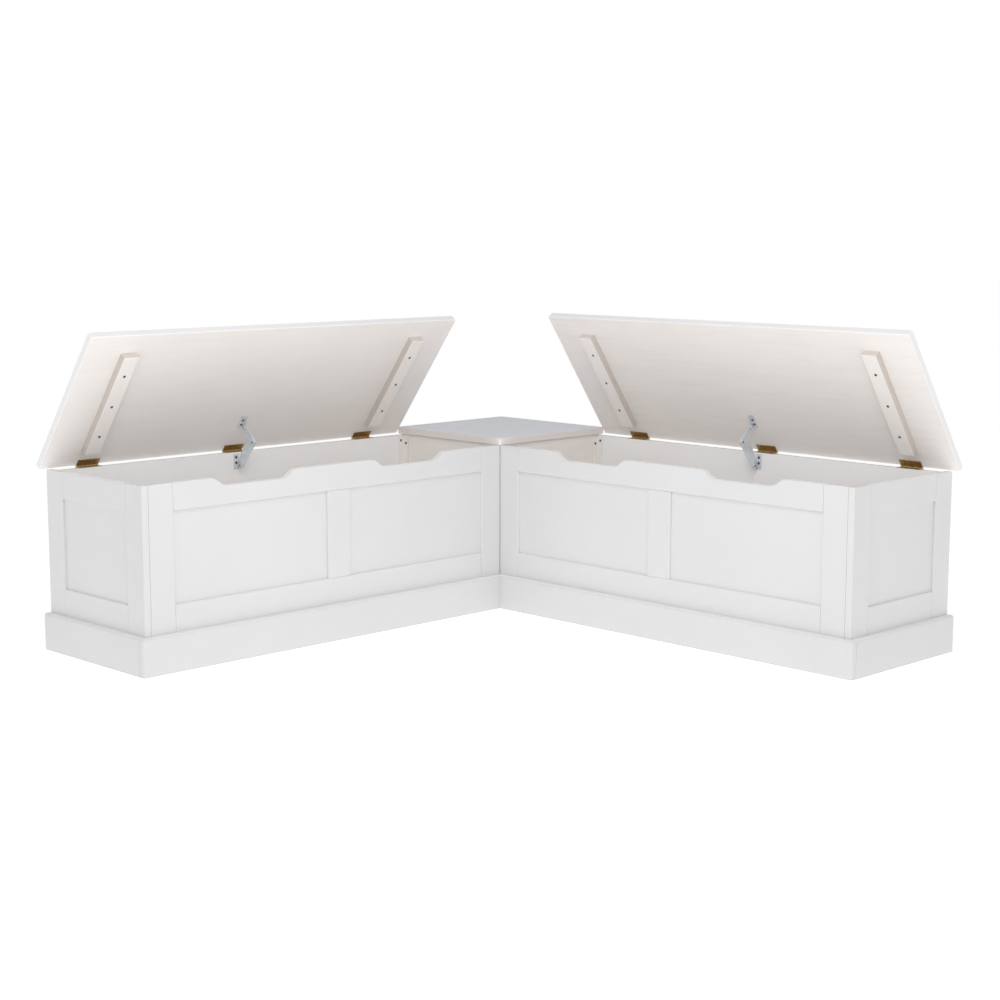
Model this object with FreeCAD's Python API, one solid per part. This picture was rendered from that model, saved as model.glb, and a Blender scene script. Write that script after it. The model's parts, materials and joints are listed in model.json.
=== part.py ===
import FreeCAD
import Part
import math
import os
from FreeCAD import Vector

# Corner storage bench, in millimetres, +Z up and z = 0 on the floor.
# Two storage arms meet at a fixed corner seat. Each arm is a framed and panelled box on a
# plinth, with a lid on three butt hinges that a pair of pivoted metal links guides and holds.
#
# Everything is drawn for the right arm, in distances from the room corner:
#   u runs along the wall (+X), v runs out from the wall (-Y) and z is the height.
# The left arm is the mirror image, along -Y. At the end the whole bench moves so that the
# origin is the middle of its bounding box, on the floor.

# Body
arm_length = 1588.0           # from the room corner to the arm's end face
body_depth = 416.0            # from the wall to the face of the front frame
body_height = 453.0           # floor to the top edge of the frames
frame_thickness = 18.0        # stiles, rails and muntins
wall_thickness = 18.0         # back boards and dividers
bottom_thickness = 12.0
bottom_height = 60.0          # floor to the underside of the bottom board
cleat_size = 20.0             # square strips in the inner corners
cleat_top_gap = 3.0           # how far the upright cleats stop below the back board's top
corner_post_size = 40.0       # square post behind the inner front corner
corner_post_relief = 5.0      # its front edge is cut back, behind the open joint there

# Framed fronts and ends
stile_width = 70.0
muntin_width = 74.0
top_rail_width = 67.0
bottom_rail_top = 160.0       # floor to the top edge of the bottom rail
bottom_rail_width = 110.0
panel_thickness = 6.0
groove_depth = 10.0
panel_play = 0.5              # room for the panel to swell at the bottom of each groove
edge_round = 2.0              # eased edges of the frame members
corner_round = 3.0            # the end frame's outer upright edges

# Finger dips in the top rail: an S curve down to a flat on each side
dip_pitch = 508.0
dip_flat = 166.0
dip_run = 52.0
dip_depth = 21.0

# Plinth
plinth_height = 93.0
plinth_thickness = 18.0
plinth_round = 6.0

# Lids and corner seat
lid_thickness = 18.0
lid_front_overhang = 6.0
lid_end_overhang = 18.0
lid_seat_gap = 4.0
seat_thickness = 20.0
lid_rest_gap = 0.2            # closed lid to the top edge of the frames
lid_corner_radius = 5.0
lid_edge_round = 2.0
lid_opening = {"right": 55.0, "left": 53.0}    # degrees from closed, as the lids stand
batten_width = 44.0
batten_thickness = 18.0
batten_inset = 125.0          # lid end to the middle of the batten
batten_back_margin = 50.0
batten_front_margin = 56.0

# Butt hinges
hinge_length = 64.0
hinge_inset = 137.5           # lid end to the middle of the outer hinges
leaf_width = 18.0
leaf_thickness = 1.5
leaf_gap = 0.2                # between the leaves of a closed hinge
knuckle_radius = 3.2
knuckle_count = 5
knuckle_gap = 0.3
pin_radius = 1.6
running_clearance = 0.05      # pins and rivets in their holes

# Lid stay: two links between a bracket on the back board and one under the lid.
# Hinge axis, lid pivot, elbow and base pivot are the corners of a parallelogram.
stay_offset = {"right": -20.0, "left": -4.0}    # from the middle of the lid, along the arm
stay_reach = 89.0             # hinge axis to lid pivot, along the lid
stay_drop = 8.0               # lid pivot below the lid
stay_forward = 33.0           # hinge axis to base pivot, away from the wall
stay_down = 37.0              # hinge axis to base pivot, downwards
stay_plate = 2.0
stay_gap = 0.3                # between neighbouring plates
link_end_radius = 9.0
lid_end_radius = 6.0
nose_radius = 6.0
nose_centre = (2.0, 17.0)     # from the elbow, along and across the lower link
belly_point = (45.0, 21.0)    # on the lower link's curved back edge, from its base pivot
nose_turn = 98.0              # degrees at which the back edge leaves the nose
heel_turn = 115.0             # degrees at which it meets the base pivot's end
shoulder_radius = 5.0
shoulder_centre = (18.0, 14.0)    # from the elbow, along and across the upper link
shoulder_turn = 40.0          # degrees at which the neck's curve leaves the shoulder
neck_point = (34.0, 8.0)      # on the upper link's hollow back edge, from the elbow
stop_stud_place = 13.0        # from the elbow, along the upper link
stop_stud_radius = 2.0
stop_stud_height = 1.5
bracket_width = 18.0
base_bracket_height = 40.0
lid_bracket_length = 42.0
rivet_radius = 3.0
rivet_head_radius = 5.0
rivet_head_height = 1.4

# Countersunk wood screws
screw_radius = 1.9
screw_head_radius = 3.8
screw_hole_clearance = 0.15
batten_screw_length = 30.0
batten_screw_pitch = 98.0
bracket_screw_length = 14.0
bracket_screw_pitch = 15.0
cleat_screw_length = 32.0
cleat_screw_drops = (14.0, 22.0)    # back board's top to the two screws of an upright cleat

# Places that follow from the sizes above
front_face_inside = body_depth - frame_thickness
end_face_inside = arm_length - frame_thickness
divider_inside = body_depth           # in line with the other arm's front
divider_outside = divider_inside - wall_thickness
bottom_rail_bottom = bottom_rail_top - bottom_rail_width
top_rail_bottom = body_height - top_rail_width
panel_recess = (frame_thickness - panel_thickness) / 2
bottom_top = bottom_height + bottom_thickness
lid_bottom = body_height + lid_rest_gap
back_height = lid_bottom - leaf_gap - 2 * leaf_thickness    # the hinges lie on the back board
lid_top = lid_bottom + lid_thickness
lid_front = body_depth + lid_front_overhang
lid_start = lid_front + lid_seat_gap
lid_end = arm_length + lid_end_overhang
lid_middle = (lid_start + lid_end) / 2
hinge_v = -(knuckle_radius + knuckle_gap)      # the barrel stands just behind the back board
hinge_z = back_height + leaf_thickness + leaf_gap / 2
screw_head_height = screw_head_radius - screw_radius


def block(u0, u1, v0, v1, z0, z1):
    """Box between two distances along the wall, out from the wall and above the floor."""
    return Part.makeBox(u1 - u0, v1 - v0, z1 - z0, Vector(u0, -v1, z0))


def spot(u, v, z):
    """Point at a distance along the wall, out from the wall and above the floor."""
    return Vector(u, -v, z)


def rounded(shape, radius, chosen):
    """Rounds the edges whose bounding box is chosen."""
    edges = [edge for edge in shape.Edges if chosen(edge.BoundBox)]
    return shape.makeFillet(radius, edges)


def same(a, b):
    return abs(a - b) < 0.001


def outline(*edges):
    return Part.Face(Part.Wire(list(edges)))


def flat_point(along, across):
    """Point of a link that lies flat: along it from a pivot, and across towards its back."""
    return Vector(0, along, across)


def line(a, b):
    return Part.LineSegment(a, b).toShape()


def arc(a, through, b):
    return Part.Arc(a, through, b).toShape()


# Wood screws

def screw_solid(length, spare=0.0):
    """Countersunk screw pointing down from the origin, or the hole for it with room to spare."""
    head = screw_head_radius + spare
    shank = screw_radius + spare
    corners = [
        Vector(0, 0, spare),
        Vector(head, 0, spare),
        Vector(head, 0, 0),
        Vector(shank, 0, -screw_head_height),
        Vector(shank, 0, -length - spare),
        Vector(0, 0, -length - spare),
    ]
    if not spare:
        del corners[1]
    profile = Part.Face(Part.makePolygon(corners + corners[:1]))
    return profile.revolve(Vector(0, 0, 0), Vector(0, 0, 1), 360)


def aimed(shape, at, direction):
    """Puts a shape that points down at a place, pointing in a direction."""
    turned = shape.copy()
    turned.Placement = FreeCAD.Placement(at, FreeCAD.Rotation(Vector(0, 0, -1), direction))
    return turned


class Screws:
    """Screws of one length, with the holes that they need."""

    def __init__(self, length, direction, places):
        self.solids = [aimed(screw_solid(length), at, direction) for at in places]
        hole = screw_solid(length, screw_hole_clearance)
        self.holes = [aimed(hole, at, direction) for at in places]

    def translate(self, step):
        for shape in self.solids + self.holes:
            shape.translate(step)

    def mirror(self):
        """Moves the screws and their holes to the other arm."""
        self.solids = [mirrored(solid) for solid in self.solids]
        self.holes = [mirrored(hole) for hole in self.holes]


def drilled(shape, *screw_sets):
    for screws in screw_sets:
        shape = shape.cut(screws.holes)
    return shape


# Frame members, drawn flat: a runs along the frame, t from its face inwards, z upwards

def member(a0, a1, z0, z1):
    return Part.makeBox(a1 - a0, frame_thickness, z1 - z0, Vector(a0, 0, z0))


def groove(a0, a1, z0, z1):
    """The panel's slice of the frame's thickness: a groove to cut, or a tongue or panel."""
    return Part.makeBox(a1 - a0, panel_thickness, z1 - z0, Vector(a0, panel_recess, z0))


def stile(a0, a1, grooved_at, is_corner=False):
    """Upright member from the floor to the top, with a groove along one side."""
    shape = member(a0, a1, 0, body_height)
    if is_corner:
        shape = rounded(
            shape, corner_round, lambda b: b.ZLength > 1 and same(b.XMin, a0) and same(b.YMax, 0)
        )
        shape = rounded(
            shape,
            edge_round,
            lambda b: b.ZLength > 1 and same(b.XMin, a0) and same(b.YMin, frame_thickness),
        )
    eased = (a1,) if is_corner else (a0, a1)
    for a in eased:
        shape = rounded(
            shape, edge_round, lambda b: b.ZLength > 1 and same(b.XMin, a) and same(b.YMax, 0)
        )
    if same(grooved_at, a0):
        low, high = a0, a0 + groove_depth
    else:
        low, high = a1 - groove_depth, a1
    return shape.cut(groove(low, high, bottom_rail_bottom, body_height))


def with_tongues(shape, a0, a1, z0, z1):
    """Adds a stub tongue at each end of a rail, beside the grooves of its panels."""
    left = groove(a0 - groove_depth, a0, z0, z1)
    right = groove(a1, a1 + groove_depth, z0, z1)
    return shape.fuse([left, right]).removeSplitter()


def bottom_rail(a0, a1):
    shape = member(a0, a1, bottom_rail_bottom, bottom_rail_top)
    shape = rounded(
        shape, edge_round, lambda b: same(b.YMin, 0) and same(b.YMax, 0) and b.ZMax > bottom_rail_top - 1
    )
    groove_bottom = bottom_rail_top - groove_depth
    shape = shape.cut(groove(a0, a1, groove_bottom, bottom_rail_top))
    return with_tongues(shape, a0, a1, bottom_rail_bottom, groove_bottom)


def dip_edges(middle):
    """The top edge through one finger dip, from left to right."""
    low = body_height - dip_depth
    mid = body_height - dip_depth / 2
    radius = (dip_run ** 2 + dip_depth ** 2) / (4 * dip_depth)
    half_turn = math.asin(dip_run / 2 / radius) / 2
    bulge_a = radius * math.sin(half_turn)
    bulge_z = radius * (1 - math.cos(half_turn))
    edges = []
    for side in (-1, 1):
        outer = middle + side * (dip_flat / 2 + dip_run)
        inner = middle + side * dip_flat / 2
        turn = middle + side * (dip_flat + dip_run) / 2
        upper = arc(
            Vector(outer, 0, body_height),
            Vector(outer - side * bulge_a, 0, body_height - bulge_z),
            Vector(turn, 0, mid),
        )
        lower = arc(
            Vector(turn, 0, mid),
            Vector(inner + side * bulge_a, 0, low + bulge_z),
            Vector(inner, 0, low),
        )
        edges += [upper, lower]
    edges.append(line(Vector(middle - dip_flat / 2, 0, low), Vector(middle + dip_flat / 2, 0, low)))
    return edges


def top_rail(a0, a1, dips=()):
    """Top rail with a finger dip at each given place."""
    stops = [a0]
    edges = []
    for middle in dips:
        edges += dip_edges(middle)
        stops += [middle - dip_flat / 2 - dip_run, middle + dip_flat / 2 + dip_run]
    stops.append(a1)
    for start, stop in zip(stops[0::2], stops[1::2]):
        edges.append(line(Vector(start, 0, body_height), Vector(stop, 0, body_height)))
    for a in (a0, a1):
        edges.append(line(Vector(a, 0, top_rail_bottom), Vector(a, 0, body_height)))
    edges.append(line(Vector(a0, 0, top_rail_bottom), Vector(a1, 0, top_rail_bottom)))
    face = Part.Face(Part.Wire(Part.__sortEdges__(edges)))
    shape = face.extrude(Vector(0, frame_thickness, 0))
    shape = rounded(
        shape,
        edge_round,
        lambda b: b.YLength < 0.01
        and (same(b.YMax, 0) or b.XLength > 1 and b.ZMin > body_height - dip_depth - 0.01),
    )
    groove_top = top_rail_bottom + groove_depth
    shape = shape.cut(groove(a0, a1, top_rail_bottom, groove_top))
    return with_tongues(shape, a0, a1, groove_top, body_height)


def muntin(middle):
    a0 = middle - muntin_width / 2
    a1 = middle + muntin_width / 2
    shape = member(a0, a1, bottom_rail_top, top_rail_bottom)
    shape = rounded(shape, edge_round, lambda b: same(b.YMin, 0) and same(b.YMax, 0))
    for low, high in ((a0, a0 + groove_depth), (a1 - groove_depth, a1)):
        shape = shape.cut(groove(low, high, bottom_rail_top, top_rail_bottom))
    tongues = [
        groove(a0 + groove_depth, a1 - groove_depth, bottom_rail_top - groove_depth, bottom_rail_top),
        groove(a0 + groove_depth, a1 - groove_depth, top_rail_bottom, top_rail_bottom + groove_depth),
    ]
    return shape.fuse(tongues).removeSplitter()


def panel(a0, a1):
    """Panel of an opening, held all round in the grooves."""
    tongue = groove_depth - panel_play
    return groove(a0 - tongue, a1 + tongue, bottom_rail_top - tongue, top_rail_bottom + tongue)


def front_frame():
    start = body_depth
    stop = end_face_inside
    open_start = start + stile_width
    open_stop = stop - stile_width
    middle = (start + stop) / 2
    dip_middle = (body_depth + arm_length) / 2
    dips = (dip_middle - dip_pitch / 2, dip_middle + dip_pitch / 2)
    pieces = {
        "front_inner_stile": stile(start, open_start, open_start),
        "front_outer_stile": stile(open_stop, stop, open_stop),
        "front_top_rail": top_rail(open_start, open_stop, dips),
        "front_bottom_rail": bottom_rail(open_start, open_stop),
        "front_muntin": muntin(middle),
        "front_inner_panel": panel(open_start, middle - muntin_width / 2),
        "front_outer_panel": panel(middle + muntin_width / 2, open_stop),
    }
    for shape in pieces.values():
        shape.translate(Vector(0, -body_depth, 0))
    return pieces


def end_frame():
    """Frame that closes the arm's end and covers the edge of the front frame."""
    open_start = stile_width
    open_stop = body_depth - stile_width
    pieces = {
        "end_front_stile": stile(0, open_start, open_start, is_corner=True),
        "end_back_stile": stile(open_stop, body_depth, open_stop),
        "end_top_rail": top_rail(open_start, open_stop),
        "end_bottom_rail": bottom_rail(open_start, open_stop),
        "end_panel": panel(open_start, open_stop),
    }
    for shape in pieces.values():
        shape.rotate(Vector(0, 0, 0), Vector(0, 0, 1), 90)
        shape.translate(Vector(arm_length, -body_depth, 0))
    return pieces


# Boards and strips of the box

def upright_cleats():
    """Four upright strips in the box's corners, with the two screws of each."""
    top = back_height - cleat_top_gap
    solids = []
    screws = []
    for u, along in ((divider_inside, -1), (end_face_inside - cleat_size, 1)):
        for v, across in ((wall_thickness, -1), (front_face_inside - cleat_size, 1)):
            solids.append(block(u, u + cleat_size, v, v + cleat_size, bottom_top, top))
            middle_u = u + cleat_size / 2
            middle_v = v + cleat_size / 2
            face_u = middle_u - along * cleat_size / 2
            face_v = middle_v - across * cleat_size / 2
            high, low = (back_height - drop for drop in cleat_screw_drops)
            to_end = Screws(cleat_screw_length, Vector(along, 0, 0), [spot(face_u, middle_v, high)])
            to_side = Screws(cleat_screw_length, Vector(0, -across, 0), [spot(middle_u, face_v, low)])
            screws += [to_end, to_side]
    return solids, screws


def bottom_cleats():
    """Two strips along the box that carry the bottom board."""
    strips = []
    for v in (wall_thickness, front_face_inside - cleat_size):
        low = bottom_height - cleat_size
        strips.append(block(divider_inside, end_face_inside, v, v + cleat_size, low, bottom_height))
    return strips


def divider():
    """Wall between the arm's storage and the corner, up to the corner post: it carries the seat."""
    stop = body_depth - corner_post_size
    return block(divider_outside, divider_inside, wall_thickness, stop, 0, body_height)


def back_board(start):
    return block(start, end_face_inside, 0, wall_thickness, 0, back_height)


def bottom_board():
    return block(
        divider_inside, end_face_inside, wall_thickness, front_face_inside, bottom_height, bottom_top
    )


def seam(u, v, top):
    """Upright bar, square on edge: cut from two boards that meet, it leaves a V between them."""
    corners = [
        spot(u - edge_round, v, 0),
        spot(u, v - edge_round, 0),
        spot(u + edge_round, v, 0),
        spot(u, v + edge_round, 0),
    ]
    return Part.Face(Part.makePolygon(corners + corners[:1])).extrude(Vector(0, 0, top))


def plinth_front():
    """Front plinth board, mitred at the inner corner, over the end board's edge."""
    face = body_depth + plinth_thickness
    stop = arm_length + plinth_thickness
    board = block(body_depth, stop, body_depth, face, 0, plinth_height)
    board = rounded(
        board,
        plinth_round,
        lambda b: same(b.YMax, -face) and (same(b.ZMin, plinth_height) or same(b.XMin, stop))
        or same(b.ZMin, plinth_height) and same(b.XMin, stop),
    )
    # The mitre keeps what lies further along the wall than out from it.
    corners = [spot(body_depth, body_depth, 0), spot(face, face, 0), spot(body_depth, face, 0)]
    wedge = Part.Face(Part.makePolygon(corners + corners[:1])).extrude(Vector(0, 0, plinth_height))
    return board.cut([wedge, seam(stop, body_depth, plinth_height)])


def plinth_end():
    stop = arm_length + plinth_thickness
    board = block(arm_length, stop, 0, body_depth, 0, plinth_height)
    board = rounded(board, plinth_round, lambda b: same(b.ZMin, plinth_height) and same(b.XMin, stop))
    return board.cut(seam(stop, body_depth, plinth_height))


# Hinges, drawn closed

def hinge_leaf(middle, is_fixed):
    """One leaf with its knuckles, which alternate with those of the other leaf."""
    start = middle - hinge_length / 2
    pitch = hinge_length / knuckle_count
    z0 = back_height if is_fixed else lid_bottom - leaf_thickness
    shapes = []
    for index in range(knuckle_count):
        if (index % 2 == 0) != is_fixed:
            continue
        u0 = start + index * pitch + knuckle_gap / 2
        u1 = start + (index + 1) * pitch - knuckle_gap / 2
        axis_start = spot(u0, hinge_v, hinge_z)
        shapes.append(Part.makeCylinder(knuckle_radius, u1 - u0, axis_start, Vector(1, 0, 0)))
        shapes.append(block(u0, u1, hinge_v, 0, z0, z0 + leaf_thickness))
    leaf = block(start, start + hinge_length, 0, leaf_width, z0, z0 + leaf_thickness)
    leaf = leaf.fuse(shapes).removeSplitter()
    bore_start = spot(start, hinge_v, hinge_z)
    bore = Part.makeCylinder(
        pin_radius + running_clearance, hinge_length, bore_start, Vector(1, 0, 0)
    )
    return leaf.cut(bore)


def hinge_pin(middle):
    start = spot(middle - hinge_length / 2, hinge_v, hinge_z)
    return Part.makeCylinder(pin_radius, hinge_length, start, Vector(1, 0, 0))


def hinge_middles():
    return (lid_start + hinge_inset, lid_middle, lid_end - hinge_inset)


# Lid stay. Its plates stand side by side across the arm, in this order.

stay_u = lid_middle
plate_step = stay_plate + stay_gap
base_ear_u = stay_u - stay_plate
lower_link_u = stay_u + stay_gap
upper_link_u = lower_link_u + plate_step
lid_ear_u = upper_link_u + plate_step
lid_pivot_v = hinge_v + stay_reach
lid_pivot_z = lid_bottom - stay_drop
base_pivot_v = hinge_v + stay_forward
base_pivot_z = hinge_z - stay_down
link_v = lid_pivot_v - hinge_v
link_z = lid_pivot_z - hinge_z
lower_link_length = math.hypot(link_v, link_z)
lower_link_angle = math.degrees(math.atan2(link_z, link_v))
upper_link_length = math.hypot(stay_forward, stay_down)
upper_link_angle = math.degrees(math.atan2(stay_down, -stay_forward))


def polar(centre, radius, degrees):
    angle = math.radians(degrees)
    return centre + Vector(0, radius * math.cos(angle), radius * math.sin(angle))


def tangent(c0, r0, c1, r1):
    """Ends of the line that touches two circles on its right side, and its outward angle."""
    step = c1 - c0
    heading = math.degrees(math.atan2(step.z, step.y))
    lean = math.degrees(math.asin((r0 - r1) / step.Length))
    outward = heading - 90 + lean
    return polar(c0, r0, outward), polar(c1, r1, outward), outward


def link_blank(face, u, holes):
    """Plate cut from a flat outline, with its pivot holes."""
    blank = face.extrude(Vector(stay_plate, 0, 0))
    for centre in holes:
        bore = Part.makeCylinder(
            rivet_radius + running_clearance, stay_plate, centre, Vector(1, 0, 0)
        )
        blank = blank.cut(bore)
    blank.translate(Vector(u, 0, 0))
    return blank


def lower_link_flat():
    """The wide, sickle-shaped lower link, lying along +Y with its base pivot at the origin."""
    base = flat_point(0, 0)
    elbow = flat_point(lower_link_length, 0)
    nose = elbow + flat_point(*nose_centre)
    front_0, front_1, low_turn = tangent(base, link_end_radius, elbow, link_end_radius)
    tip_0, tip_1, tip_turn = tangent(elbow, link_end_radius, nose, nose_radius)
    nose_back = polar(nose, nose_radius, nose_turn)
    heel = polar(base, link_end_radius, heel_turn)
    face = outline(
        line(front_0, front_1),
        arc(front_1, polar(elbow, link_end_radius, (low_turn + tip_turn) / 2), tip_0),
        line(tip_0, tip_1),
        arc(tip_1, polar(nose, nose_radius, (tip_turn + nose_turn) / 2), nose_back),
        arc(nose_back, flat_point(*belly_point), heel),
        arc(heel, polar(base, link_end_radius, (heel_turn + low_turn + 360) / 2), front_0),
    )
    return link_blank(face, lower_link_u, (base, elbow))


def upper_link_flat():
    """The upper link, lying along +Y with its elbow at the origin: a shoulder, then a neck."""
    elbow = flat_point(0, 0)
    end = flat_point(upper_link_length, 0)
    shoulder = flat_point(*shoulder_centre)
    front_0, front_1, low_turn = tangent(elbow, link_end_radius, end, lid_end_radius)
    back_0, back_1, back_turn = tangent(shoulder, shoulder_radius, elbow, link_end_radius)
    back_turn += 360
    end_back = polar(end, lid_end_radius, 90)
    shoulder_out = polar(shoulder, shoulder_radius, shoulder_turn)
    face = outline(
        line(front_0, front_1),
        arc(front_1, polar(end, lid_end_radius, (low_turn + 90) / 2), end_back),
        arc(end_back, flat_point(*neck_point), shoulder_out),
        arc(
            shoulder_out,
            polar(shoulder, shoulder_radius, (shoulder_turn + back_turn) / 2),
            back_0,
        ),
        line(back_0, back_1),
        arc(back_1, polar(elbow, link_end_radius, (back_turn + low_turn + 360) / 2), front_0),
    )
    blank = link_blank(face, upper_link_u, (elbow, end))
    stud_start = flat_point(stop_stud_place, 0)
    stud_start.x = upper_link_u + stay_plate
    stud = Part.makeCylinder(stop_stud_radius, stop_stud_height, stud_start, Vector(1, 0, 0))
    return blank.fuse(stud).removeSplitter()


def rivet(u0, u1, centre):
    """Rivet through two neighbouring plates, headed on both sides."""
    play = running_clearance
    low = u0 - play
    high = u1 + play
    shank = Part.makeCylinder(rivet_radius, high - low, Vector(low, centre.y, centre.z), Vector(1, 0, 0))
    near = Vector(low - rivet_head_height, centre.y, centre.z)
    far = Vector(high, centre.y, centre.z)
    heads = [
        Part.makeCylinder(rivet_head_radius, rivet_head_height, start, Vector(1, 0, 0))
        for start in (near, far)
    ]
    return shank.fuse(heads).removeSplitter()


def pivot_hole(u, centre):
    start = Vector(u, centre.y, centre.z)
    return Part.makeCylinder(rivet_radius + running_clearance, stay_plate, start, Vector(1, 0, 0))


def base_bracket(pivot):
    """Bracket on the back board: a screwed flange and an ear for the lower link's rivet."""
    low = base_pivot_z - link_end_radius
    high = low + base_bracket_height
    face = wall_thickness
    ear_root_top = base_pivot_z + link_end_radius
    ear = block(base_ear_u, stay_u, face, base_pivot_v, low, ear_root_top)
    eye_start = spot(base_ear_u, base_pivot_v, base_pivot_z)
    eye = Part.makeCylinder(link_end_radius, stay_plate, eye_start, Vector(1, 0, 0))
    flange_stop = base_ear_u + bracket_width
    flange = block(base_ear_u, flange_stop, face, face + stay_plate, low, high)
    bracket = flange.fuse([ear, eye]).removeSplitter().cut(pivot_hole(base_ear_u, pivot))
    screw_u = (stay_u + flange_stop) / 2
    top_screw_z = high - link_end_radius
    places = [
        spot(screw_u, face + stay_plate, top_screw_z - index * bracket_screw_pitch)
        for index in range(2)
    ]
    return bracket, Screws(bracket_screw_length, Vector(0, 1, 0), places)


def lid_bracket(pivot):
    """Bracket under the closed lid: a screwed flange and an ear for the upper link's rivet."""
    back = lid_pivot_v - lid_end_radius
    front = back + lid_bracket_length
    flange_stop = lid_ear_u + bracket_width
    flange = block(lid_ear_u, flange_stop, back, front, lid_bottom - stay_plate, lid_bottom)
    ear_face = outline(
        line(spot(lid_ear_u, front, lid_bottom), spot(lid_ear_u, back, lid_bottom)),
        line(spot(lid_ear_u, back, lid_bottom), spot(lid_ear_u, back, lid_pivot_z)),
        arc(
            spot(lid_ear_u, back, lid_pivot_z),
            spot(lid_ear_u, lid_pivot_v, lid_pivot_z - lid_end_radius),
            spot(lid_ear_u, lid_pivot_v + lid_end_radius, lid_pivot_z),
        ),
        line(
            spot(lid_ear_u, lid_pivot_v + lid_end_radius, lid_pivot_z),
            spot(lid_ear_u, front, lid_bottom),
        ),
    )
    ear = ear_face.extrude(Vector(stay_plate, 0, 0))
    bracket = flange.fuse(ear).removeSplitter().cut(pivot_hole(lid_ear_u, pivot))
    screw_u = (lid_ear_u + stay_plate + flange_stop) / 2
    first = lid_pivot_v + lid_end_radius
    places = [
        spot(screw_u, first + index * bracket_screw_pitch, lid_bottom - stay_plate)
        for index in range(2)
    ]
    return bracket, Screws(bracket_screw_length, Vector(0, 0, 1), places)


# Lids and seat, drawn closed

def top_board(u0, u1):
    """Board at seat height, from the wall to its overhang, with eased edges and corners."""
    board = block(u0, u1, 0, lid_front, lid_bottom, lid_top)
    board = rounded(
        board, lid_corner_radius, lambda b: b.ZLength > 1 and b.XLength < 1 and same(b.YMax, -lid_front)
    )
    return rounded(board, lid_edge_round, lambda b: b.ZLength < 0.01 and b.YMin < -0.01)


def battens():
    """Inner and outer batten under the lid, and their screws."""
    low = lid_bottom - batten_thickness
    back = batten_back_margin
    front = lid_front - batten_front_margin
    middle_v = (back + front) / 2
    result = {}
    for name, middle_u in (("inner", lid_start + batten_inset), ("outer", lid_end - batten_inset)):
        half = batten_width / 2
        bar = block(middle_u - half, middle_u + half, back, front, low, lid_bottom)
        bar = rounded(bar, edge_round, lambda b: same(b.ZMax, low))
        places = [
            spot(middle_u, middle_v + step * batten_screw_pitch, low) for step in (-1, 0, 1)
        ]
        result[name] = (bar, Screws(batten_screw_length, Vector(0, 0, 1), places))
    return result


def opened(shape, centre, degrees):
    """Turns a shape as the lid opens, about an axis along the wall."""
    shape.rotate(centre, Vector(-1, 0, 0), degrees)
    return shape


def lid_pieces(opening, bracket, bracket_screws):
    bars = battens()
    screw_sets = [bars["inner"][1], bars["outer"][1], bracket_screws]
    screws = [solid for screw_set in screw_sets for solid in screw_set.solids]
    leaves = [hinge_leaf(middle, False) for middle in hinge_middles()]
    pieces = {
        "lid_board": drilled(top_board(lid_start, lid_end), *screw_sets),
        "lid_inner_batten": drilled(*bars["inner"]),
        "lid_outer_batten": drilled(*bars["outer"]),
        "lid_screws": Part.makeCompound(screws),
        "lid_hinge_leaves": Part.makeCompound(leaves),
        "stay_lid_bracket": bracket,
    }
    axis = spot(0, hinge_v, hinge_z)
    return {name: opened(shape, axis, opening) for name, shape in pieces.items()}


def stay_links(opening):
    """Both links at the lid's opening: the lower one turns with the lid, the upper one doesn't."""
    base_pivot = spot(0, base_pivot_v, base_pivot_z)
    angle = lower_link_angle + opening
    reach = lower_link_length * math.cos(math.radians(angle))
    rise = lower_link_length * math.sin(math.radians(angle))
    elbow = spot(0, base_pivot_v + reach, base_pivot_z + rise)
    lower = link_towards(lower_link_flat(), base_pivot, angle)
    upper = link_towards(upper_link_flat(), elbow, upper_link_angle)
    return lower, upper, elbow


def link_towards(flat, pivot, degrees):
    """Stands a flat link up at its pivot: 0 degrees points away from the wall, 90 up."""
    flat = flat.mirror(Vector(0, 0, 0), Vector(0, 1, 0))
    opened(flat, Vector(0, 0, 0), degrees)
    flat.translate(pivot)
    return flat


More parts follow.
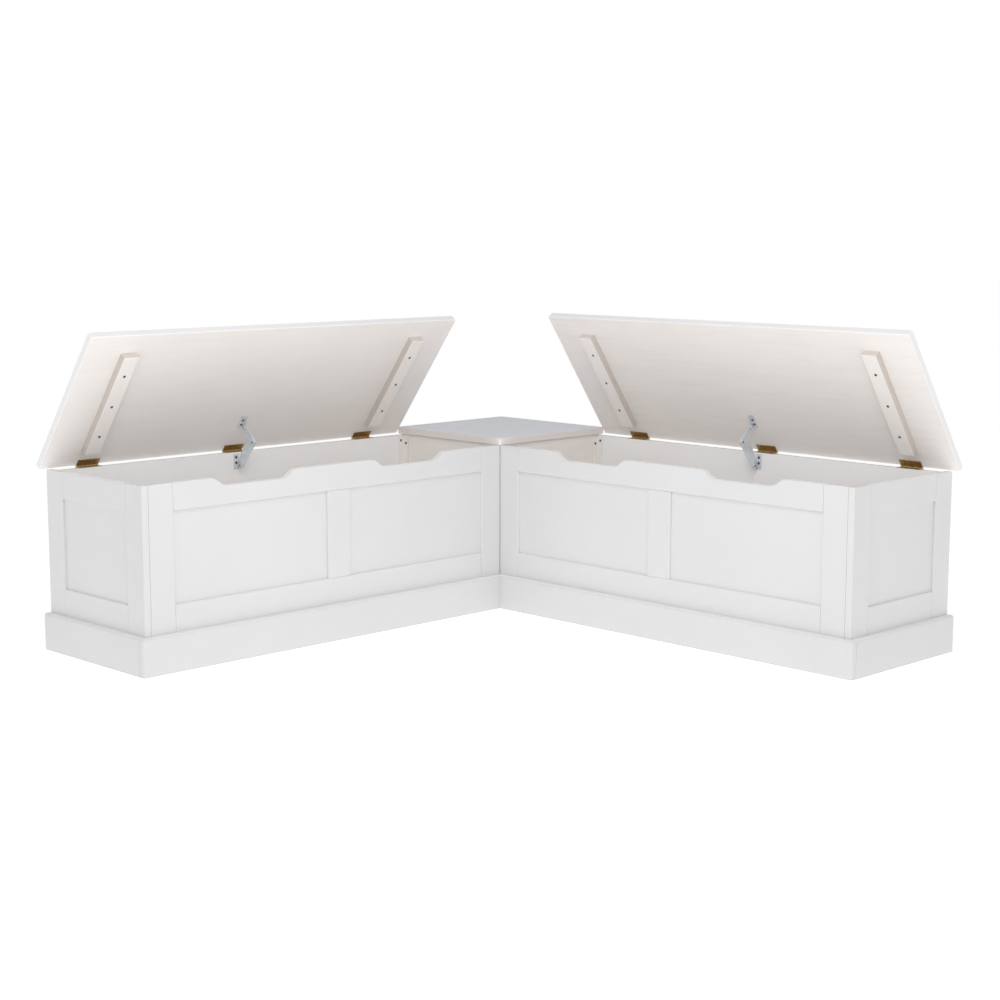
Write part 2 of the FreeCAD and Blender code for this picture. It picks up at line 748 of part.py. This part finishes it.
def storage_arm(side):
    """Every piece of one arm in the right arm's place, and the screws in its fixed body."""
    opening = lid_opening[side]
    base_pivot = spot(0, base_pivot_v, base_pivot_z)
    lid_pivot = spot(0, lid_pivot_v, lid_pivot_z)
    base, base_screws = base_bracket(base_pivot)
    bracket, bracket_screws = lid_bracket(lid_pivot)
    base_rivet = rivet(base_ear_u, lower_link_u + stay_plate, base_pivot)
    lid_rivet = rivet(upper_link_u, lid_ear_u + stay_plate, lid_pivot)
    lower, upper, elbow = stay_links(opening)
    elbow_rivet = rivet(lower_link_u, upper_link_u + stay_plate, elbow)
    stay = (base, base_screws, base_rivet, lower, elbow_rivet, upper, bracket, bracket_screws, lid_rivet)
    for piece in stay:
        piece.translate(Vector(stay_offset[side], 0, 0))

    cleats, cleat_screws = upright_cleats()
    back_start = 0 if side == "right" else wall_thickness
    pieces = front_frame()
    pieces.update(end_frame())
    pieces["back_board"] = back_board(back_start)
    pieces["bottom_board"] = bottom_board()
    pieces["divider"] = divider()
    pieces["plinth_front"] = plinth_front()
    pieces["plinth_end"] = plinth_end()
    for name in ("back_board", "divider", "front_inner_stile", "front_outer_stile"):
        pieces[name] = drilled(pieces[name], *cleat_screws)
    for name in ("end_front_stile", "end_back_stile"):
        pieces[name] = drilled(pieces[name], *cleat_screws)
    pieces["back_board"] = drilled(pieces["back_board"], base_screws)
    strips = [drilled(strip, *cleat_screws) for strip in cleats]
    pieces["cleats"] = Part.makeCompound(strips + bottom_cleats())

    fixed_leaves = [hinge_leaf(middle, True) for middle in hinge_middles()]
    pins = [hinge_pin(middle) for middle in hinge_middles()]
    pieces["hinge_leaves"] = Part.makeCompound(fixed_leaves + pins)
    pieces["stay_base_bracket"] = Part.makeCompound([drilled(base, base_screws), base_rivet])
    lid_end_piece = Part.makeCompound([drilled(bracket, bracket_screws), lid_rivet])
    pieces["stay_lower_link"] = Part.makeCompound([lower, elbow_rivet])
    pieces["stay_upper_link"] = upper
    pieces.update(lid_pieces(opening, lid_end_piece, bracket_screws))

    return pieces, [base_screws] + cleat_screws


def mirrored(shape):
    """The same piece on the other arm."""
    return shape.mirror(Vector(0, 0, 0), Vector(1, 1, 0))


# Corner between the arms

def corner_seat():
    board = block(0, lid_front, 0, lid_front, body_height, body_height + seat_thickness)
    board = rounded(
        board, lid_corner_radius, lambda b: b.ZLength > 1 and same(b.XMin, lid_front) and b.YMax < -1
    )
    return rounded(board, lid_edge_round, lambda b: b.ZLength < 0.01)


def corner_post(screw_sets):
    start = body_depth - corner_post_size
    post = block(start, body_depth, start, body_depth, 0, body_height)
    edges = [
        edge
        for edge in post.Edges
        if same(edge.BoundBox.XMin, body_depth) and same(edge.BoundBox.YMax, -body_depth)
    ]
    return drilled(post.makeChamfer(corner_post_relief, edges), *screw_sets)


def corner_cleats():
    """Upright strip where the back boards meet, and a level one along each under the seat."""
    inside = wall_thickness + cleat_size
    upright = block(wall_thickness, inside, wall_thickness, inside, 0, body_height)
    low = body_height - cleat_size
    level = block(inside, divider_outside, wall_thickness, inside, low, body_height)
    return Part.makeCompound([upright, level, mirrored(level)])


def reach_behind(side):
    """How far the open lid's back edge, or the hinge barrel, stands out behind the back board."""
    angle = math.radians(lid_opening[side])
    rise = lid_top - hinge_z
    lid_edge = rise * math.sin(angle) + hinge_v * math.cos(angle)
    return max(lid_edge, knuckle_radius) - hinge_v


def build():
    nodes = {}
    screws = []
    for side in ("right", "left"):
        pieces, fixed_screws = storage_arm(side)
        if side == "left":
            for screw_set in fixed_screws:
                screw_set.mirror()
        for name, shape in pieces.items():
            nodes[side + "_" + name] = mirrored(shape) if side == "left" else shape
        screws += fixed_screws
    nodes["corner_seat"] = corner_seat()
    nodes["corner_post"] = corner_post(screws)
    nodes["corner_cleats"] = corner_cleats()
    nodes["body_screws"] = Part.makeCompound([solid for fixed in screws for solid in fixed.solids])
    far = max(lid_end, arm_length + plinth_thickness)
    middle_x = (far - reach_behind("left")) / 2
    middle_y = (reach_behind("right") - far) / 2
    for shape in nodes.values():
        shape.translate(Vector(-middle_x, -middle_y, 0))
    return nodes


def main():
    os.makedirs("parts", exist_ok=True)
    for name, shape in build().items():
        shape.exportStep(os.path.join("parts", name + ".step"))


main()
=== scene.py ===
import bpy
import bmesh
import functools
import json
import math
from mathutils import Euler, Matrix, Vector

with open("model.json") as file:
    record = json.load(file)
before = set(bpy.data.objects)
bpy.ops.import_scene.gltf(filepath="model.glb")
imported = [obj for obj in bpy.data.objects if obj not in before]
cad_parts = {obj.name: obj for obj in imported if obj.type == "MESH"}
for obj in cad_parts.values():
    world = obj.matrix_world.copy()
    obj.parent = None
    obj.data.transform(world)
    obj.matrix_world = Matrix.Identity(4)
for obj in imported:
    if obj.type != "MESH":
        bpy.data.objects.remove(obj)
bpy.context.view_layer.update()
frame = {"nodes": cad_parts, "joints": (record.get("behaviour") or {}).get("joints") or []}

# Corner storage bench: the finish of its pieces, and the studio that it stands in. Metres, +Z up.
# The right arm runs along +X and the left arm along -Y from the room corner.
ALONG_ARM = {"right": "x", "left": "y"}
ACROSS_ARM = {"right": "y", "left": "x"}
TO_WALL = {"right": Vector((0, 1, 0)), "left": Vector((-1, 0, 0))}
UP = Vector((0, 0, 1))

# The camera, as measured from the photograph: where it looks, from which side and how far away
CAMERA_AZIMUTH = 45.367
CAMERA_ELEVATION = 8.396
CAMERA_ROLL = 0.068
CAMERA_TARGET = Vector((-1.8264, 1.8078, 0.0))
CAMERA_DISTANCE = 7.2818
CAMERA_CLIP_END = 100
FOCAL_PIXELS = 1886.9
PHOTO_PIXELS = 1000
SENSOR_MM = 36.0

# Paint: the outside colour, and colours painted for light and shade: a painted highlight on upper
# edges, painted light inside the storage and on edges, painted shade on the plinth, the tops of the
# corner seat and lids, and the batten sides
WHITE = (0.722, 0.717, 0.722, 1.0)
# The plinth painted a darker white: painted shade for the strong floor light it gets
PLINTH_PAINTED_SHADE = (0.70, 0.697, 0.705, 1.0)
# A painted highlight: upward-facing surfaces painted lighter, as light from above makes them
UPPER_EDGE_HIGHLIGHT = (0.86, 0.855, 0.84, 1.0)
# Lighter, warmer paint inside the storage: painted light for the light that can't reach in
INSIDE_PAINTED_LIGHT = (0.94, 0.90, 0.87, 1.0)
# Lighter paint on the storage side of the back boards: painted light
BACK_PAINTED_LIGHT = (0.97, 0.96, 0.955, 1.0)
# Tops of the corner seat and lids in a darker bluish grey: painted shade with a bluish painted
# reflection
TOP_PAINTED_SHADE = (0.70, 0.715, 0.765, 1.0)
# Edges and underside of the corner seat in a lighter, warmer white: painted light
SEAT_EDGE_PAINTED_LIGHT = (0.85, 0.80, 0.78, 1.0)
# Edges of the lids in a lighter white: painted light
LID_EDGE_PAINTED_LIGHT = (0.86, 0.855, 0.87, 1.0)
# Battens: a lighter painted light on the broad face and a darker brown painted shade on the sawn sides
BATTEN_FACE_PAINTED_LIGHT = (0.96, 0.915, 0.88, 1.0)
BATTEN_SIDE_PAINTED_SHADE = (0.62, 0.56, 0.515, 1.0)
GRAIN_COLOUR = (0.74, 0.72, 0.68, 1.0)
# Painted shade in seams and corners, partly paint gathered there
SEAM_SHADE_COLOUR = (0.52, 0.45, 0.36, 1.0)

# Wood under the paint: waves per metre along and across the grain, and how far the painted shade in
# seams and corners reaches
STREAKS_ALONG = 6.0
STREAKS_ACROSS = 90.0
FIBRES_ALONG = 14.0
FIBRES_ACROSS = 700.0
CLOUDS = 4.0
CLOUD_DARKEST = 0.975
SEAM_SHADE_REACH = 0.004
PAINT_ROUGHNESS = (0.42, 0.55)
PAINT_SPECULAR = 0.4
SEAT_SPECULAR = 0.2
STREAK_HEIGHT = 0.35          # as a share of the fibres' height
PAINT_RELIEF = 0.0002
PAINT_BUMP = 0.35

# Metals: each has a base colour and a lighter one where it is worn
BRASS = ((0.36, 0.22, 0.09, 1.0), (0.66, 0.52, 0.30, 1.0))
DARK_STEEL = ((0.10, 0.09, 0.08, 1.0), (0.20, 0.18, 0.15, 1.0))
ZINC = ((0.70, 0.75, 0.80, 1.0), (0.86, 0.90, 0.94, 1.0))
METAL_DARK = (0.03, 0.028, 0.025, 1.0)
METAL_DARK_REACH = 0.004
RIVET_RADIUS = 0.0028
RIVET_BLUR = 0.15             # share of the radius over which a rivet's edge fades
ROUGHNESS_SPREAD = 0.15
SCRATCH_RELIEF = 0.0001
SCRATCH_BUMP = 0.25

# A face belongs to a direction from the lower of these cosines on, and wholly from the upper on
FACING_COSINES = (0.5, 0.9)

# Studio
FLOOR_HALF_WIDTH = 30
FLOOR_DROP = 0.0005
FLOOR_COLOUR = (0.9, 0.9, 0.9, 1.0)
FLOOR_ROUGHNESS = 0.9
FLOOR_GLOW = 0.5
HORIZON_STRENGTH = 1.07
OVERHEAD_STRENGTH = 0.42
SKY_FALL = (0.42, 0.5)        # heights of a sky direction between which the strength falls
KEY_LIGHT = {"place": (3.4, -3.4, 3.6), "target": (0.0, 0.0, 0.3), "size": 2.5, "power": 13}
CORNER_LIGHT = {"place": (0.9, -0.9, 2.3), "target": (-0.2, 0.2, 0.4), "size": 1.2, "power": 17.5}
LIGHT_COLOUR = (1.0, 1.0, 1.0, 1.0)


# Node materials

class Shader:
    """A node material being put together, with short calls for the nodes that repeat."""

    def __init__(self, name):
        self.material = bpy.data.materials.new(name)
        self.material.use_nodes = True
        self.tree = self.material.node_tree
        self.surface = self.tree.nodes["Principled BSDF"]

    def set_input(self, node, key, value):
        """Links a socket to a node's input, or sets the input to a plain value."""
        if isinstance(value, bpy.types.NodeSocket):
            self.tree.links.new(value, node.inputs[key])
        else:
            node.inputs[key].default_value = value

    def node(self, kind, inputs, **settings):
        made = self.tree.nodes.new(kind)
        for key, value in settings.items():
            setattr(made, key, value)
        for key, value in inputs.items():
            self.set_input(made, key, value)
        return made

    def coordinates(self, kind):
        """The place or the normal on the object at rest, whatever its pose."""
        return self.node("ShaderNodeTexCoord", {}).outputs[kind]

    def noise(self, scales, detail=2.0, roughness=0.55, distortion=0.0):
        """Noise with a number of waves per metre for each axis."""
        inputs = {"Vector": self.coordinates("Object"), "Scale": scales}
        inputs = {
            "Vector": self.node("ShaderNodeMapping", inputs).outputs["Vector"],
            "Scale": 1.0,
            "Detail": detail,
            "Roughness": roughness,
            "Distortion": distortion,
        }
        return self.node("ShaderNodeTexNoise", inputs).outputs["Fac"]

    def ramp(self, value, low, high, start=0.0, end=1.0):
        inputs = {
            "Value": value,
            "From Min": low,
            "From Max": high,
            "To Min": start,
            "To Max": end,
        }
        return self.node("ShaderNodeMapRange", inputs).outputs["Result"]

    def mix(self, factor, first, second, blend="MIX"):
        """Mixes two colours. The node's colour sockets are told apart by their places alone."""
        inputs = {0: factor, 6: first, 7: second}
        return self.node("ShaderNodeMix", inputs, data_type="RGBA", blend_type=blend).outputs[2]

    def plus(self, first, second):
        return self.node("ShaderNodeMath", {0: first, 1: second}, operation="ADD").outputs[0]

    def times(self, first, second):
        return self.node("ShaderNodeMath", {0: first, 1: second}, operation="MULTIPLY").outputs[0]

    def vector_math(self, operation, *vectors):
        return self.node("ShaderNodeVectorMath", dict(enumerate(vectors)), operation=operation).outputs

    def nook(self, reach, low, high):
        """How closed in a point is: 0 in the open, 1 deep in a corner."""
        occlusion = self.node("ShaderNodeAmbientOcclusion", {"Distance": reach}, samples=8)
        closed = self.ramp(occlusion.outputs["AO"], 1.0, 0.0)
        return self.ramp(closed, low, high)

    def facing(self, direction):
        """1 where a surface faces a direction of the object at rest, and 0 where it turns away."""
        turn = self.vector_math("DOT_PRODUCT", self.coordinates("Normal"), direction)
        return self.ramp(turn["Value"], *FACING_COSINES)

    def near_axis(self, point, axis, radius):
        """1 within a radius of the line through a point along an axis, and 0 beyond it."""
        across = [0.0 if name == axis else 1.0 for name in "xyz"]
        offset = self.vector_math("SUBTRACT", self.coordinates("Object"), point)
        flat = self.vector_math("MULTIPLY", offset["Vector"], across)
        distance = self.vector_math("LENGTH", flat["Vector"])
        return self.ramp(distance["Value"], radius * (1 + RIVET_BLUR), radius * (1 - RIVET_BLUR))

    def bump(self, height, distance, strength):
        inputs = {"Height": height, "Distance": distance, "Strength": strength}
        bumped = self.node("ShaderNodeBump", inputs)
        self.feed("Normal", bumped.outputs["Normal"])

    def feed(self, socket, value):
        self.set_input(self.surface, socket, value)


def stretched(along, lengthwise, across):
    """Waves per metre of a noise whose streaks run along an axis."""
    return tuple(lengthwise if axis == along else across for axis in "xyz")


def painted_wood(name, along, base, grain, seam_shade, faces=(), specular=PAINT_SPECULAR):
    """White paint over softwood: faint grain along an axis, and painted shade in the seams and corners,
    partly paint gathered there, kept off faces that look up.

    Each of faces is a direction and a colour: what faces that way is painted in that colour, a colour
    painted for the light and shade that direction gets.
    """
    shader = Shader(name)
    streaks = shader.noise(stretched(along, STREAKS_ALONG, STREAKS_ACROSS), 6.0, 0.6, 0.4)
    fibres = shader.noise(stretched(along, FIBRES_ALONG, FIBRES_ACROSS))
    cloud = shader.noise((CLOUDS, CLOUDS, CLOUDS))
    lines = shader.ramp(streaks, 0.45, 0.72)
    # Painted light and shade by the way a surface faces
    for direction, painted_light_colour in faces:
        base = shader.mix(shader.facing(direction), base, painted_light_colour)
    colour = shader.mix(shader.times(lines, grain), base, GRAIN_COLOUR)
    patchy = shader.ramp(cloud, 0.3, 0.7, CLOUD_DARKEST, 1.0)
    grey = shader.node("ShaderNodeCombineColor", {"Red": patchy, "Green": patchy, "Blue": patchy})
    colour = shader.mix(1.0, colour, grey.outputs["Color"], "MULTIPLY")
    # Painted shade in seams and corners from occlusion, left off faces that look up, where light falls
    not_on_top = shader.ramp(shader.facing(UP), 1.0, 0.0)
    seam_shade_mask = shader.times(shader.nook(SEAM_SHADE_REACH, 0.3, 0.8), not_on_top)
    colour = shader.mix(shader.times(seam_shade_mask, seam_shade), colour, SEAM_SHADE_COLOUR)
    shader.feed("Base Color", colour)
    shader.feed("Roughness", shader.ramp(fibres, 0.3, 0.7, *PAINT_ROUGHNESS))
    shader.feed("Specular IOR Level", specular)
    relief = shader.plus(shader.times(lines, STREAK_HEIGHT), fibres)
    shader.bump(relief, PAINT_RELIEF, PAINT_BUMP)
    return shader.material


def metal(name, colours, roughness, scale, corner_darkening, metallic=1.0, rivets=()):
    """Plated metal: cloudy brightness, fine scratches, darker in its corners, and dark rivets.

    Each rivet is a point and an axis: the metal is dark along that line.
    """
    shader = Shader(name)
    cloud = shader.noise((scale, scale, scale), 5.0, 0.65)
    scratches = shader.noise((scale * 12, scale * 12, scale * 1.5))
    colour = shader.mix(shader.ramp(cloud, 0.35, 0.7), *colours)
    # Darker towards the corners, from occlusion
    nook = shader.nook(METAL_DARK_REACH, 0.35, 0.95)
    colour = shader.mix(shader.times(nook, corner_darkening), colour, METAL_DARK)
    for point, axis in rivets:
        colour = shader.mix(shader.near_axis(point, axis, RIVET_RADIUS), colour, METAL_DARK)
    shader.feed("Base Color", colour)
    shader.feed("Metallic", metallic)
    shader.feed("Roughness", shader.ramp(cloud, 0.3, 0.7, roughness, roughness + ROUGHNESS_SPREAD))
    shader.bump(scratches, SCRATCH_RELIEF, SCRATCH_BUMP)
    return shader.material


# The bench's materials, each made once for an axis or a side

@functools.cache
def frame_paint(axis):
    """Rails and panels carry a painted highlight on their upper edges, and upright pieces a strong
    painted shade in their joints.
    """
    name = "paint_" + axis
    if axis == "z":
        return painted_wood(name, axis, WHITE, 0.15, 0.8)
    return painted_wood(name, axis, WHITE, 0.15, 0.1, [(UP, UPPER_EDGE_HIGHLIGHT)])


@functools.cache
def plinth_paint(axis):
    # Darker paint as painted shade, a painted highlight on upper edges and strong painted shade in
    # seams
    return painted_wood("plinth_paint_" + axis, axis, PLINTH_PAINTED_SHADE, 0.15, 0.9, [(UP, UPPER_EDGE_HIGHLIGHT)])


@functools.cache
def inner_paint(axis):
    """Dividers and bottom boards, in the lighter inside paint that stands in for light."""
    return painted_wood("divider_paint_" + axis, axis, INSIDE_PAINTED_LIGHT, 0.15, 0.5)


@functools.cache
def cleat_paint():
    # Lighter inside paint: painted light for the storage
    return painted_wood("cleat_paint", "z", INSIDE_PAINTED_LIGHT, 0.2, 0.5)


@functools.cache
def seat_paint():
    # The seat's top in the bluish-grey painted shade, and its edges and underside in a lighter painted
    # light
    return painted_wood("seat_paint", "x", SEAT_EDGE_PAINTED_LIGHT, 0.15, 0.4, [(UP, TOP_PAINTED_SHADE)], SEAT_SPECULAR)


@functools.cache
def back_paint(side):
    """Painted brighter on the side that faces the storage: painted light inside the box."""
    faces = [(-TO_WALL[side], BACK_PAINTED_LIGHT)]
    return painted_wood(side + "_back_paint", ALONG_ARM[side], WHITE, 0.08, 0.5, faces)


def underside_direction(side):
    """The direction that the underside of a lid faces at rest."""
    hinge = next(joint for joint in frame["joints"] if joint["name"] == side + "_lid_hinge")
    opening = math.radians(-hinge["range_deg"][0])
    return -math.sin(opening) * TO_WALL[side] - math.cos(opening) * UP


@functools.cache
def lid_paint(side):
    """The top carries the corner seat's painted shade, the underside the lighter inside paint that
    stands in for light, and the edges a lighter painted light.
    """
    grain = {"right": 0.22, "left": 0.12}[side]
    underside = underside_direction(side)
    faces = [(underside, INSIDE_PAINTED_LIGHT), (-underside, TOP_PAINTED_SHADE)]
    return painted_wood(side + "_lid_paint", ALONG_ARM[side], LID_EDGE_PAINTED_LIGHT, grain, 0.5, faces)


@functools.cache
def batten_paint(side):
    """A lighter white on the broad face as painted light, and a darker brown on the sawn sides as
    painted shade.
    """
    faces = [(underside_direction(side), BATTEN_FACE_PAINTED_LIGHT)]
    return painted_wood(side + "_batten_paint", ACROSS_ARM[side], BATTEN_SIDE_PAINTED_SHADE, 0.12, 0.9, faces)


@functools.cache
def brass():
    return metal("brass", BRASS, 0.32, 240.0, 0.9)


@functools.cache
def dark_steel():
    return metal("dark_steel", DARK_STEEL, 0.4, 300.0, 0.6)


@functools.cache
def zinc(side):
    """Bluish zinc plate for one stay, with the rivets of its pivots dark."""
    pivots = [joint for joint in frame["joints"] if joint["name"].startswith(side + "_stay")]
    rivets = [(joint["pos_m"], ALONG_ARM[side]) for joint in pivots]
    return metal(side + "_zinc", ZINC, 0.35, 120.0, 0.8, 0.55, rivets)


def material_of(name):
    """The material of a piece of the frame, with the grain along its length."""
    side, part = name.split("_", 1)
    if part == "seat":
        return seat_paint()
    if part in ("post", "cleats"):
        return cleat_paint()
    if part.endswith("screws"):
        return dark_steel()
    if part.endswith("hinge_leaves"):
        return brass()
    if part.startswith("stay_"):
        return zinc(side)
    if part == "lid_board":
        return lid_paint(side)
    if part.endswith("batten"):
        return batten_paint(side)
    if part == "back_board":
        return back_paint(side)
    if part == "divider":
        return inner_paint(ACROSS_ARM[side])
    if part == "bottom_board":
        return inner_paint(ALONG_ARM[side])
    if part == "plinth_front":
        return plinth_paint(ALONG_ARM[side])
    if part == "plinth_end":
        return plinth_paint(ACROSS_ARM[side])
    if part.endswith(("stile", "muntin")):
        return frame_paint("z")
    if part.startswith("end_"):
        return frame_paint(ACROSS_ARM[side])
    return frame_paint(ALONG_ARM[side])


def finish_nodes():
    for name, node in frame["nodes"].items():
        node.data.materials.clear()
        node.data.materials.append(material_of(name))


# Camera, floor and light

def look_rotation(azimuth, elevation, roll):
    """Rotation of a camera that stands at an azimuth and elevation and looks at its target."""
    turn = Euler((math.radians(90 - elevation), 0, math.radians(azimuth)), "XYZ").to_matrix()
    return turn @ Matrix.Rotation(math.radians(roll), 3, "Z")


def make_camera():
    data = bpy.data.cameras.new("camera")
    data.sensor_width = SENSOR_MM
    data.lens = FOCAL_PIXELS / PHOTO_PIXELS * SENSOR_MM
    data.clip_end = CAMERA_CLIP_END
    camera = bpy.data.objects.new("camera", data)
    bpy.context.scene.collection.objects.link(camera)
    rotation = look_rotation(CAMERA_AZIMUTH, CAMERA_ELEVATION, CAMERA_ROLL)
    back = rotation @ Vector((0, 0, 1))
    camera.matrix_world = Matrix.Translation(CAMERA_TARGET + back * CAMERA_DISTANCE) @ rotation.to_4x4()
    bpy.context.scene.camera = camera


def make_floor():
    """A wide pale floor, which glows a little so that it stays white far away."""
    mesh = bpy.data.meshes.new("floor")
    shape = bmesh.new()
    bmesh.ops.create_grid(shape, x_segments=1, y_segments=1, size=FLOOR_HALF_WIDTH)
    shape.to_mesh(mesh)
    shape.free()
    floor = bpy.data.objects.new("floor", mesh)
    floor.location.z = -FLOOR_DROP
    bpy.context.scene.collection.objects.link(floor)
    shader = Shader("floor")
    shader.feed("Base Color", FLOOR_COLOUR)
    shader.feed("Roughness", FLOOR_ROUGHNESS)
    shader.feed("Specular IOR Level", 0.0)
    shader.feed("Emission Color", LIGHT_COLOUR)
    shader.feed("Emission Strength", FLOOR_GLOW)
    floor.data.materials.append(shader.material)


def make_light(name, place, target, size, power):
    """A round lamp that looks from its place at its target."""
    data = bpy.data.lights.new(name, "AREA")
    data.shape = "DISK"
    data.size = size
    data.energy = power
    light = bpy.data.objects.new(name, data)
    direction = Vector(target) - Vector(place)
    light.rotation_euler = direction.to_track_quat("-Z", "Y").to_euler()
    light.location = place
    light.visible_camera = False
    bpy.context.scene.collection.objects.link(light)


def make_studio():
    """White surroundings, brightest at the horizon and dimmer overhead, and two soft lamps."""
    world = bpy.data.worlds.new("studio")
    world.use_nodes = True
    tree = world.node_tree
    direction = tree.nodes.new("ShaderNodeTexCoord")
    parts = tree.nodes.new("ShaderNodeSeparateXYZ")
    tree.links.new(direction.outputs["Generated"], parts.inputs[0])
    fall = tree.nodes.new("ShaderNodeMapRange")
    tree.links.new(parts.outputs["Z"], fall.inputs["Value"])
    fall.inputs["From Min"].default_value = SKY_FALL[0]
    fall.inputs["From Max"].default_value = SKY_FALL[1]
    fall.inputs["To Min"].default_value = HORIZON_STRENGTH
    fall.inputs["To Max"].default_value = OVERHEAD_STRENGTH
    background = tree.nodes["Background"]
    tree.links.new(fall.outputs["Result"], background.inputs["Strength"])
    background.inputs["Color"].default_value = LIGHT_COLOUR
    bpy.context.scene.world = world
    make_light("key", **KEY_LIGHT)
    make_light("corner", **CORNER_LIGHT)


finish_nodes()
make_camera()
make_floor()
make_studio()
bpy.context.scene.view_settings.view_transform = "Standard"
